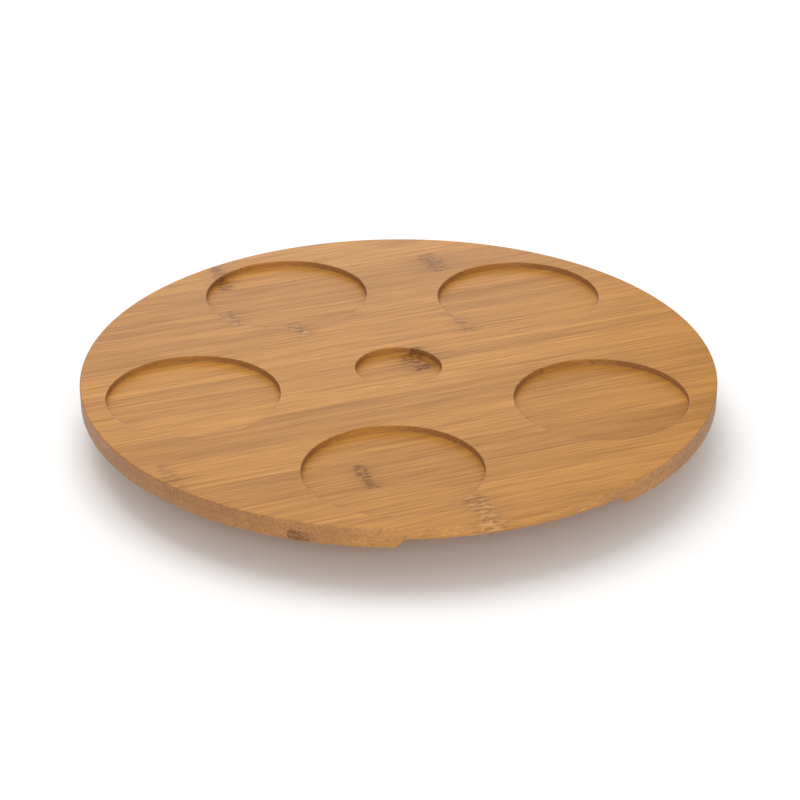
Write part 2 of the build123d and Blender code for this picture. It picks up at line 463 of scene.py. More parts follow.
@dataclass(frozen=True)
class CrossScrew:
    """A countersunk screw with a cross recess and a rolled thread, standing head down on the Z axis.

    Attributes:
        head: Height of the head's flat, which faces down.
        length: Length over all.
        head_radius: Radius of the head.
        shank_radius: Radius over the thread.
        land: Height of the head's upright edge.
        recess_half_length: Half of the cross's length.
        recess_half_width: Half of a wing's width.
        recess_depth: Depth of the cross.
        pitch: Distance between threads.
        thread_depth: Height of the thread.
        point: Length of the taper at the tip.
    """

    head: float
    length: float
    head_radius: float = 3.0 * MM
    shank_radius: float = 1.5 * MM
    land: float = 0.3 * MM
    recess_half_length: float = 1.6 * MM
    recess_half_width: float = 0.35 * MM
    recess_depth: float = 1.1 * MM
    pitch: float = 0.7 * MM
    thread_depth: float = 0.25 * MM
    point: float = 0.6 * MM

    def angles(self) -> np.ndarray:
        """Angles that include every corner of the cross, in radians."""
        tip = math.atan2(self.recess_half_width, self.recess_half_length)
        corner = math.pi / 4
        wing = np.concatenate(
            [
                np.linspace(-corner, -tip, 6, endpoint=False),
                np.linspace(-tip, tip, 5, endpoint=False),
                np.linspace(tip, corner, 6, endpoint=False),
            ]
        )
        return np.concatenate([wing + k * math.pi / 2 for k in range(4)] + [[wing[0] + 2 * math.pi]])

    def cross(self, a: np.ndarray, inset: float) -> np.ndarray:
        """The cross's outline as a distance from the axis at each angle: the nearer of a wing's side and its end.

        Args:
            a: Angles in radians.
            inset: How far the outline lies inside the mouth's.

        Returns:
            The distances.
        """
        within = np.abs((a + math.pi / 4) % (math.pi / 2) - math.pi / 4)
        side = (self.recess_half_width - inset * 0.4) / np.maximum(np.sin(within), 1e-9)
        end = (self.recess_half_length - inset) / np.cos(within)
        return np.minimum(side, end)

    def grids(self) -> list[np.ndarray]:
        """The screw's surface: the cross, the head, then a thread whose depth follows its turn."""
        a = self.angles()
        one = np.ones_like(a)
        foot = self.cross(a, 0.45 * self.recess_depth)
        rows = [(0 * one, self.recess_depth * one), (foot, self.recess_depth * one)]
        rows += [(self.cross(a, 0.0), 0.05 * MM * one), (self.cross(a, -0.06 * MM), 0 * one)]
        rim = self.head_radius - 0.08 * MM
        rows += [(share * rim * one, 0 * one) for share in (0.68, 0.97, 1.0)]
        rows += [(self.head_radius * one, 0.08 * MM * one), (self.head_radius * one, self.land * one)]
        neck = self.land + self.head_radius - self.shank_radius
        rows += [(self.shank_radius * one, neck * one)]
        turns = np.linspace(neck + 0.3 * MM, self.length - 0.05 * MM, int((self.length - neck) / self.pitch * 6))
        for z in turns:
            wave = np.abs((z / self.pitch - a / (2 * math.pi)) % 1.0 * 2 - 1)
            deep = self.thread_depth * np.minimum(1.0, 1.6 * wave) * min(1.0, (z - neck) / self.pitch)
            taper = min(1.0, (self.length - z) / self.point * 0.7 + 0.3)
            rows.append(((self.shank_radius - deep) * taper, z * one))
        rows.append((0 * one, self.length * one))
        table = np.array(rows)
        radius, height = table[:, 0], table[:, 1]
        return [np.stack([radius * np.cos(a), radius * np.sin(a), self.head + height], axis=-1)]


# ---------------------------------------------------------------------------------------------------------------
# Finishes
# ---------------------------------------------------------------------------------------------------------------


def linear(colour: str) -> tuple[float, float, float, float]:
    """A linear colour from an sRGB hex value such as "#C48E52"."""
    parts = [int(colour[i : i + 2], 16) / 255 for i in (1, 3, 5)]
    return tuple([c / 12.92 if c <= 0.04045 else ((c + 0.055) / 1.055) ** 2.4 for c in parts] + [1.0])


def add(tree: bpy.types.NodeTree, kind: str, sockets: dict | None = None, **settings) -> bpy.types.Node:
    """Adds a shader node with its settings and links.

    Args:
        tree: The material's node tree.
        kind: The node's type, without its "ShaderNode" prefix.
        sockets: For each input, by name or number: a value, another node's output, or a node for its first output.
        **settings: The node's properties.

    Returns:
        The node.
    """
    node = tree.nodes.new("ShaderNode" + kind)
    for key, value in settings.items():
        setattr(node, key, value)
    for key, value in (sockets or {}).items():
        if isinstance(value, bpy.types.Node):
            value = value.outputs[0]
        if isinstance(value, bpy.types.NodeSocket):
            tree.links.new(value, node.inputs[key])
        else:
            node.inputs[key].default_value = value
    return node


def new_material(name: str) -> tuple[bpy.types.Material, bpy.types.Node]:
    """An empty material.

    Args:
        name: Its name.

    Returns:
        The material and its Principled BSDF.
    """
    material = bpy.data.materials.new(name)
    material.use_nodes = True
    tree = material.node_tree
    tree.nodes.clear()
    shader = add(tree, "BsdfPrincipled")
    add(tree, "OutputMaterial", {"Surface": shader})
    return material, shader


@dataclass(frozen=True)
class Strip:
    """One bamboo strip of a ply, and the node of the culm that crosses it.

    Attributes:
        far_edge: The strip's edge on its +Y side, as a share of the board's radius.
        tone: Darkness from 0, pale, to 1, dark.
        node_at: Where the culm's node crosses the strip, as a share of the board's radius along the grain.
        dark: How dark the node's flecks are, from 0 to 1.
        pale: How pale its fuzz is, from 0 to 1.
        width: Half of the node's width, in millimetres.
    """

    far_edge: float
    tone: float
    node_at: float = 1.9
    dark: float = 0.0
    pale: float = 0.0
    width: float = 4.0


def chance_strips(seed: int, width: float = 0.16) -> tuple[Strip, ...]:
    """Strips with chance tones and nodes, for a ply that little is known of.

    Args:
        seed: Seed of the random numbers.
        width: A strip's width as a share of the board's radius.

    Returns:
        The strips from -Y to +Y.
    """
    rng = np.random.default_rng(seed)
    edges = np.append(np.arange(-1.0 + width * rng.uniform(0.3, 1.0), 1.0 - width / 4, width), 1.0)
    count = len(edges)
    tones = np.clip(0.5 + 0.2 * rng.standard_normal(count), 0.1, 0.9)
    nodes = rng.uniform(-0.9, 0.9, count)
    dark, pale, wide = rng.uniform(0.2, 0.8, count), rng.uniform(0.0, 0.6, count), rng.uniform(2.5, 6.5, count)
    table = np.stack([edges, tones, nodes, dark, pale, wide], axis=1)
    return tuple(Strip(*row) for row in table.tolist())


@dataclass(frozen=True)
class Bamboo:
    """Caramelised bamboo, flat-pressed from strips 24 mm wide, sanded and oiled to a satin.

    Its vascular bundles are long and thin, so they show as fine dark streaks where a face runs along the grain
    and as dots where it is cut across.

    Attributes:
        name: The material's name.
        strips: The ply's strips, from -Y to +Y.
        reach: Radius that the strips' shares refer to.
        seed: Moves the pattern, so that two plies differ.
        pale: Colour of the ground tissue where it is palest.
        deep: Colour of the ground tissue where it is darkest.
        bundle: Colour of the vascular bundles.
        node_dark: Colour of the dark flecks in a node.
        node_pale: Colour of the pale fuzz in a node.
        end_grain: Colour that cut fibre ends darken to.
        roughness: Roughness of the oiled face.
    """

    name: str
    strips: tuple[Strip, ...]
    reach: float
    seed: float = 0.0
    pale: str = "#C78C42"
    deep: str = "#9F6B2E"
    bundle: str = "#885822"
    node_dark: str = "#6C3F14"
    node_pale: str = "#D3A265"
    end_grain: str = "#875B38"
    roughness: float = 0.42

    def by_strip(self, tree: bpy.types.NodeTree, across: bpy.types.Node, values: list[tuple]) -> bpy.types.Node:
        """A ramp across the ply that gives each strip a constant colour of its own.

        Args:
            tree: The material's node tree.
            across: Place across the ply, 0 at -Y and 1 at +Y.
            values: A colour for each strip.

        Returns:
            The ramp's node.
        """
        ramp = add(tree, "ValToRGB", {"Fac": across})
        ramp.color_ramp.interpolation = "CONSTANT"
        stops = ramp.color_ramp.elements
        stops.remove(stops[1])
        stops[0].position, stops[0].color = 0.0, values[0]
        for strip, value in zip(self.strips[:-1], values[1:]):
            stops.new((strip.far_edge + 1) / 2).color = value
        return ramp

    def material(self) -> bpy.types.Material:
        """Builds the material.

        Lengths below are millimetres: each pattern's Mapping divides by its length along the grain and its width
        across it.
        """
        material, shader = new_material(self.name)
        tree = material.node_tree
        place = add(tree, "TexCoord")
        mm = add(tree, "Mapping", {"Vector": place.outputs["Object"], "Scale": (1 / MM,) * 3})
        axes = add(tree, "SeparateXYZ", {0: mm})
        reach = self.reach / MM
        across = add(tree, "MapRange", {"Value": axes.outputs["Y"], "From Min": -reach, "From Max": reach})
        own = [(s.tone, (0.37 * i + self.seed) % 1.0, s.width / 20, 1.0) for i, s in enumerate(self.strips)]
        look = add(tree, "SeparateColor", {0: self.by_strip(tree, across, own)})
        marks = [((s.node_at + 2) / 4, s.dark, s.pale, 1.0) for s in self.strips]
        mark = add(tree, "SeparateColor", {0: self.by_strip(tree, across, marks)})

        # Each strip reads another part of the pattern, so that no streak crosses a glue line. The fibres wander
        # about 1 mm either way over 90 mm.
        jump = add(tree, "VectorMath", {0: look.outputs["Green"], 1: (3170.0, 511.0, 97.0)}, operation="MULTIPLY")
        shift = add(tree, "VectorMath", {0: jump, 1: (0.0, 0.0, self.seed * 100)})
        moved = add(tree, "VectorMath", {0: mm, 1: shift})
        slow = add(tree, "Mapping", {"Vector": moved, "Scale": (1 / 90, 1 / 40, 1 / 40)})
        wander = add(tree, "TexNoise", {"Vector": slow, "Scale": 1.0, "Detail": 1.0})
        swing = add(
            tree,
            "VectorMath",
            {0: wander.outputs["Color"], 1: (0.0, 2.2, 2.2), 2: moved},
            operation="MULTIPLY_ADD",
        )

        # Broad bands, streaks, and the finest fibres.
        wide = add(tree, "Mapping", {"Vector": swing, "Scale": (1 / 170, 1 / 6, 1 / 6)})
        bands = add(tree, "TexNoise", {"Vector": wide, "Scale": 1.0, "Detail": 2.0, "Roughness": 0.55})
        middling = add(tree, "Mapping", {"Vector": swing, "Scale": (1 / 60, 1 / 1.3, 1 / 1.3)})
        streaks = add(tree, "TexNoise", {"Vector": middling, "Scale": 1.0, "Detail": 3.0, "Roughness": 0.65})
        thin = add(tree, "Mapping", {"Vector": swing, "Scale": (1 / 30, 1 / 0.75, 1 / 0.75)})
        fibres = add(tree, "TexNoise", {"Vector": thin, "Scale": 1.0, "Detail": 2.0, "Roughness": 0.6})
        packed = add(tree, "Mapping", {"Vector": swing, "Scale": (1 / 55, 1 / 1.15, 1 / 1.15)})
        cells = add(tree, "TexVoronoi", {"Vector": packed, "Scale": 1.0})
        bundles = add(
            tree,
            "MapRange",
            {"Value": cells.outputs["Distance"], "From Min": 0.48, "From Max": 0.16},
            interpolation_type="SMOOTHSTEP",
        )
        dark_streaks = add(
            tree,
            "MapRange",
            {"Value": streaks, "From Min": 0.47, "From Max": 0.66},
            interpolation_type="SMOOTHSTEP",
        )

        # Ground tissue: the strip's own tone with the bands and fibres round it.
        tone = add(tree, "Math", {0: bands, 1: 1.3, 2: look.outputs["Red"]}, operation="MULTIPLY_ADD")
        tone = add(tree, "Math", {0: fibres, 1: 1.6, 2: tone}, operation="MULTIPLY_ADD")
        tone = add(tree, "Math", {0: tone, 1: 1.45}, operation="SUBTRACT", use_clamp=True)
        colour = add(tree, "MixRGB", {0: tone, 1: linear(self.pale), 2: linear(self.deep)})

        # The node: a ragged line across the strip. Its distance is in half-widths.
        coarse = add(tree, "Mapping", {"Vector": moved, "Scale": (1 / 9, 1 / 3.2, 1 / 3.2)})
        ragged = add(tree, "TexNoise", {"Vector": coarse, "Scale": 1.0, "Detail": 2.0})
        wobble = add(tree, "Math", {0: ragged, 1: 6.0, 2: -3.0}, operation="MULTIPLY_ADD")
        line = add(tree, "MapRange", {"Value": mark.outputs["Red"], "To Min": -2 * reach, "To Max": 2 * reach})
        apart = add(tree, "Math", {0: axes.outputs["X"], 1: line}, operation="SUBTRACT")
        apart = add(tree, "Math", {0: apart, 1: wobble})
        half = add(tree, "Math", {0: look.outputs["Blue"], 1: 20.0}, operation="MULTIPLY")
        ratio = add(tree, "Math", {0: apart, 1: half}, operation="DIVIDE")
        away = add(tree, "Math", {0: ratio}, operation="ABSOLUTE")
        near = add(
            tree,
            "MapRange",
            {"Value": away, "From Min": 1.15, "From Max": 0.35},
            interpolation_type="SMOOTHSTEP",
        )
        halo = add(
            tree,
            "MapRange",
            {"Value": away, "From Min": 3.2, "From Max": 0.3},
            interpolation_type="SMOOTHSTEP",
        )
        flecked = add(tree, "Mapping", {"Vector": moved, "Scale": (1 / 4.0, 1 / 1.1, 1 / 1.1)})
        fleck = add(tree, "TexNoise", {"Vector": flecked, "Scale": 1.0, "Detail": 2.0, "Distortion": 0.6})
        flecks = add(
            tree,
            "MapRange",
            {"Value": fleck, "From Min": 0.36, "From Max": 0.58},
            interpolation_type="SMOOTHSTEP",
        )
        fuzzy = add(tree, "Mapping", {"Vector": moved, "Scale": (1 / 5.0, 1 / 1.6, 1 / 1.6)})
        fuzz = add(tree, "TexNoise", {"Vector": fuzzy, "Scale": 1.0, "Detail": 3.0, "Distortion": 0.8})
        fuzzes = add(
            tree,
            "MapRange",
            {"Value": fuzz, "From Min": 0.46, "From Max": 0.60},
            interpolation_type="SMOOTHSTEP",
        )
        haze = add(tree, "Math", {0: halo, 1: mark.outputs["Green"]}, operation="MULTIPLY")

        # Streaks darken the ground, and more so beside a node, where the ground is smudged as well.
        weight = add(tree, "Math", {0: haze, 1: 0.35, 2: 0.45}, operation="MULTIPLY_ADD")
        weight = add(tree, "Math", {0: weight, 1: dark_streaks}, operation="MULTIPLY")
        weight = add(tree, "Math", {0: haze, 1: 0.3, 2: weight}, operation="MULTIPLY_ADD")
        colour = add(tree, "MixRGB", {0: weight, 1: colour, 2: linear(self.bundle)})
        weight = add(tree, "Math", {0: bundles, 1: 0.22}, operation="MULTIPLY")
        colour = add(tree, "MixRGB", {0: weight, 1: colour, 2: linear(self.bundle)})

        # Cut across the grain, the bundles are dark dots in a ground a shade browner.
        normal = add(tree, "SeparateXYZ", {0: place.outputs["Normal"]})
        facing = add(tree, "Math", {0: normal.outputs["X"]}, operation="ABSOLUTE")
        cut = add(
            tree,
            "MapRange",
            {"Value": facing, "From Min": 0.12, "From Max": 0.75},
            interpolation_type="SMOOTHSTEP",
        )
        weight = add(tree, "Math", {0: cut, 1: 0.6}, operation="MULTIPLY")
        colour = add(tree, "MixRGB", {0: weight, 1: colour, 2: linear(self.end_grain)})
        dots = add(tree, "Math", {0: cut, 1: bundles}, operation="MULTIPLY")
        weight = add(tree, "Math", {0: dots, 1: 0.38}, operation="MULTIPLY")
        colour = add(tree, "MixRGB", {0: weight, 1: colour, 2: linear(self.node_dark)})

        # The node's own marks.
        weight = add(tree, "Math", {0: near, 1: flecks}, operation="MULTIPLY")
        weight = add(tree, "Math", {0: weight, 1: mark.outputs["Green"]}, operation="MULTIPLY")
        colour = add(tree, "MixRGB", {0: weight, 1: colour, 2: linear(self.node_dark)})
        weight = add(tree, "Math", {0: near, 1: fuzzes}, operation="MULTIPLY")
        weight = add(tree, "Math", {0: weight, 1: mark.outputs["Blue"]}, operation="MULTIPLY")
        colour = add(tree, "MixRGB", {0: weight, 1: colour, 2: linear(self.node_pale)})

        # Bundles and cut ends take the oil less evenly than the ground does.
        gloss = add(tree, "Math", {0: fibres, 1: 0.18, 2: self.roughness - 0.09}, operation="MULTIPLY_ADD")
        gloss = add(tree, "Math", {0: cut, 1: 0.12, 2: gloss}, operation="MULTIPLY_ADD")
        relief = add(tree, "Math", {0: dark_streaks, 1: -0.5, 2: fibres}, operation="MULTIPLY_ADD")
        relief = add(tree, "Math", {0: dots, 1: -1.2, 2: relief}, operation="MULTIPLY_ADD")
        bump = add(tree, "Bump", {"Strength": 0.35, "Distance": 0.05 * MM, "Height": relief})
        # The faces are buffed almost matt; the walls and arrises keep the oil's sheen.
        upright = add(tree, "Math", {0: normal.outputs["Z"]}, operation="ABSOLUTE")
        sheen = add(
            tree,
            "MapRange",
            {"Value": upright, "From Min": 0.8, "From Max": 0.98, "To Min": 0.5, "To Max": 0.1},
        )
        tree.links.new(sheen.outputs[0], shader.inputs["Specular IOR Level"])
        tree.links.new(colour.outputs[0], shader.inputs["Base Color"])
        tree.links.new(gloss.outputs[0], shader.inputs["Roughness"])
        tree.links.new(bump.outputs[0], shader.inputs["Normal"])
        return material


@dataclass(frozen=True)
class TurnedMetal:
    """Metal cut on a lathe: fine rings round the spin axis, 0.25 mm apart, and a slight change of sheen.

    Attributes:
        name: The material's name.
        colour: The metal's colour.
        dull: Its colour where the oxide is thicker.
        roughness: Its mean roughness.
        relief: Height of the rings, in millimetres.
    """

    name: str
    colour: str
    dull: str
    roughness: float
    relief: float = 0.004

    def material(self) -> bpy.types.Material:
        """Builds the material: noise over the distance from the axis makes the rings."""
        material, shader = new_material(self.name)
        tree = material.node_tree
        place = add(tree, "TexCoord")
        mm = add(tree, "Mapping", {"Vector": place.outputs["Object"], "Scale": (1 / MM,) * 3})
        axes = add(tree, "SeparateXYZ", {0: mm})
        flat = add(tree, "CombineXYZ", {0: axes.outputs["X"], 1: axes.outputs["Y"]})
        radius = add(tree, "VectorMath", {0: flat}, operation="LENGTH")
        ring = add(tree, "CombineXYZ", {0: radius.outputs["Value"], 1: axes.outputs["Z"]})
        cut = add(tree, "TexNoise", {"Vector": ring, "Scale": 4.0, "Detail": 2.0, "Roughness": 0.7})
        cloud = add(tree, "TexNoise", {"Vector": mm, "Scale": 0.12, "Detail": 3.0})
        colour = add(tree, "MixRGB", {0: cloud, 1: linear(self.colour), 2: linear(self.dull)})
        gloss = add(tree, "Math", {0: cut, 1: 0.2, 2: self.roughness - 0.1}, operation="MULTIPLY_ADD")
        bump = add(tree, "Bump", {"Strength": 0.6, "Distance": self.relief * MM, "Height": cut})
        shader.inputs["Metallic"].default_value = 1.0
        tree.links.new(colour.outputs[0], shader.inputs["Base Color"])
        tree.links.new(gloss.outputs[0], shader.inputs["Roughness"])
        tree.links.new(bump.outputs[0], shader.inputs["Normal"])
        return material


@dataclass(frozen=True)
class Grained:
    """A finish with a fine even grain, such as moulded rubber or nylon, plated steel or polished steel.

    Attributes:
        name: The material's name.
        colour: Its main colour.
        other: The colour that it drifts towards in places.
        grain: Size of the grain, in millimetres.
        roughness: Its mean roughness.
        spread: How far the roughness strays with the grain.
        relief: Height of the grain, in millimetres.
        metallic: 1 for a metal.
    """

    name: str
    colour: str
    other: str
    grain: float
    roughness: float
    spread: float
    relief: float
    metallic: float = 0.0

    def material(self) -> bpy.types.Material:
        """Builds the material: a cloudy drift of colour, and noise of the grain's size in gloss and relief."""
        material, shader = new_material(self.name)
        tree = material.node_tree
        place = add(tree, "TexCoord")
        mm = add(tree, "Mapping", {"Vector": place.outputs["Object"], "Scale": (1 / MM,) * 3})
        fine = add(tree, "TexNoise", {"Vector": mm, "Scale": 1 / self.grain, "Detail": 3.0, "Roughness": 0.6})
        cloud = add(tree, "TexNoise", {"Vector": mm, "Scale": 0.15, "Detail": 4.0, "Roughness": 0.6})
        share = add(tree, "MapRange", {"Value": cloud, "From Min": 0.35, "From Max": 0.7})
        colour = add(tree, "MixRGB", {0: share, 1: linear(self.colour), 2: linear(self.other)})
        start = self.roughness - self.spread / 2
        gloss = add(tree, "Math", {0: fine, 1: self.spread, 2: start}, operation="MULTIPLY_ADD")
        bump = add(tree, "Bump", {"Strength": 0.6, "Distance": self.relief * MM, "Height": fine})
        shader.inputs["Metallic"].default_value = self.metallic
        tree.links.new(colour.outputs[0], shader.inputs["Base Color"])
        tree.links.new(gloss.outputs[0], shader.inputs["Roughness"])
        tree.links.new(bump.outputs[0], shader.inputs["Normal"])
        return material


# Turned aluminium, left bare: pale grey, with rings that stretch the highlights.
RACE_ALUMINIUM = TurnedMetal("turned_aluminium", "#C9CBCE", "#B4B6B9", 0.34)
# Aluminium rivet wire, upset cold: a little duller than the turned race.
RIVET_ALUMINIUM = Grained("rivet_aluminium", "#C4C5C8", "#AEB0B4", 0.3, 0.38, 0.16, 0.004, 1.0)
# Bright zinc plating on steel: bluish grey with a faint yellow in places.
ZINC_STEEL = Grained("zinc_plated_steel", "#B9BEC4", "#B5B2A2", 0.25, 0.3, 0.16, 0.003, 1.0)
# Ground and lapped bearing steel: almost a mirror.
BALL_STEEL = Grained("lapped_bearing_steel", "#CFD1D4", "#C3C5C9", 0.2, 0.09, 0.04, 0.0005, 1.0)
# Moulded natural nylon: ivory and slightly waxy.
NYLON = Grained("moulded_nylon", "#E3DECF", "#D9D2BE", 0.4, 0.46, 0.12, 0.006)
# Moulded thermoplastic rubber: near black, matt, with a fine spark-eroded texture from the mould.
RUBBER = Grained("moulded_rubber", "#2A2B2D", "#35363A", 0.22, 0.72, 0.18, 0.02)


# ---------------------------------------------------------------------------------------------------------------
# Sub-assemblies
# ---------------------------------------------------------------------------------------------------------------


def fitted(piece: bpy.types.Object, body: Body, finish: bpy.types.Material, node: str) -> None:
    """Dresses a new piece, makes it ride on a body and lets it stand for a CAD node.

    Args:
        piece: The new piece.
        body: The body that it rides on.
        finish: Its material.
        node: The CAD node that it stands for.
    """
    piece.data.materials.append(finish)
    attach(piece, body.value)
    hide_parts(node)
    LOG.info("%s stands for %s on %s: %d faces", piece.name, node, body.value, len(piece.data.polygons))


@dataclass(frozen=True)
class Board:
    """The turning board: two bamboo plies glued together, with recesses above and finger grips below."""

    edge_round: float = 0.5 * MM
    seam_round: float = 0.12 * MM
    mouth_round: float = 0.3 * MM
    corner_round: float = 0.25 * MM
    recess_depth: float = 3.0 * MM
    dish_radius: float = 40.4 * MM
    dish_orbit: float = 99.2 * MM
    dish_count: int = 5
    dish_turn: float = 31.6
    centre_radius: float = 20.5 * MM
    grip_depth: float = 3.9 * MM
    grip_roof_half_length: float = 49.3 * MM
    grip_inset: float = 16.0 * MM
    grip_mouth_round: float = 1.5 * MM
    grip_turn: float = -0.7

    def top_ply(self) -> None:
        """The upper ply, with five dish recesses and one in the centre."""
        low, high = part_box("board_top_ply")
        radius = high[0]
        dish = recess_profile(self.dish_radius, high[2], self.recess_depth, self.mouth_round, self.corner_round)
        centre = recess_profile(self.centre_radius, high[2], self.recess_depth, self.mouth_round, self.corner_round)
        rim = rim_profile(radius, high[2], low[2], self.edge_round, self.seam_round)
        inner = self.centre_radius + self.mouth_round + SUPPORT
        back = [[radius / 2, low[2]], [0.0, low[2]]]
        shape = DrilledDisc(
            face=high[2],
            inner=inner,
            outer=radius - self.edge_round - SUPPORT,
            orbit=self.dish_orbit,
            count=self.dish_count,
            first=self.dish_turn,
            holes=(dish,),
            bodies=(np.concatenate([rim, back]), np.concatenate([[[inner, high[2]]], centre])),
        )
        piece = sewn("board_top", shape.grids())
        fitted(piece, Body.TURNTABLE, self.top_bamboo(radius).material(), "board_top_ply")

    def bottom_ply(self) -> None:
        """The lower ply, with a finger grip at each end of the line across the grain."""
        low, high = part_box("board_bottom_ply")
        shape = GrippedDisc(
            radius=high[0],
            bottom=low[2],
            top=high[2],
            edge_round=self.edge_round,
            seam_round=self.seam_round,
            roof_half_length=self.grip_roof_half_length,
            inset=self.grip_inset,
            depth=self.grip_depth,
            mouth_round=self.grip_mouth_round,
            turn=self.grip_turn,
        )
        piece = sewn("board_bottom", shape.grids())
        fitted(piece, Body.TURNTABLE, self.bottom_bamboo(high[0]).material(), "board_bottom_ply")

    def top_bamboo(self, radius: float) -> Bamboo:
        """The upper ply's strips, each with its own tone and node."""
        strips = (
            Strip(-0.84, 0.50, -0.10, 0.60, 0.45, 6.5),
            Strip(-0.67, 0.50),
            Strip(-0.52, 0.72, -0.33, 0.85, 0.00, 3.4),
            Strip(-0.34, 0.45, -0.87, 0.35, 0.10, 5.0),
            Strip(-0.175, 0.66),
            Strip(-0.14, 0.36),
            Strip(-0.09, 0.36, -0.02, 0.00, 0.55, 10.0),
            Strip(-0.02, 0.36),
            Strip(0.105, 0.48, 0.08, 1.00, 0.10, 7.5),
            Strip(0.145, 0.50),
            Strip(0.30, 0.36, 0.31, 0.60, 0.25, 3.5),
            Strip(0.46, 0.58, -0.20, 0.65, 0.45, 4.0),
            Strip(0.62, 0.62, -0.38, 0.55, 0.45, 4.5),
            Strip(0.78, 0.68, 0.40, 0.80, 0.15, 6.5),
            Strip(0.94, 0.42, -0.32, 0.70, 0.00, 4.5),
            Strip(1.0, 0.36),
        )
        return Bamboo("caramelised_bamboo_upper_ply", strips, radius)

    def bottom_bamboo(self, radius: float) -> Bamboo:
        """The lower ply's strips: chance ones, with a dark node where the rim cuts one at the front left."""
        strips = list(chance_strips(11))
        strips[1] = Strip(strips[1].far_edge, 0.55, -0.62, 1.0, 0.0, 6.0)
        return Bamboo("caramelised_bamboo_lower_ply", tuple(strips), radius, seed=0.61)

    def build(self) -> None:
        """Builds both plies."""
        self.top_ply()
        self.bottom_ply()


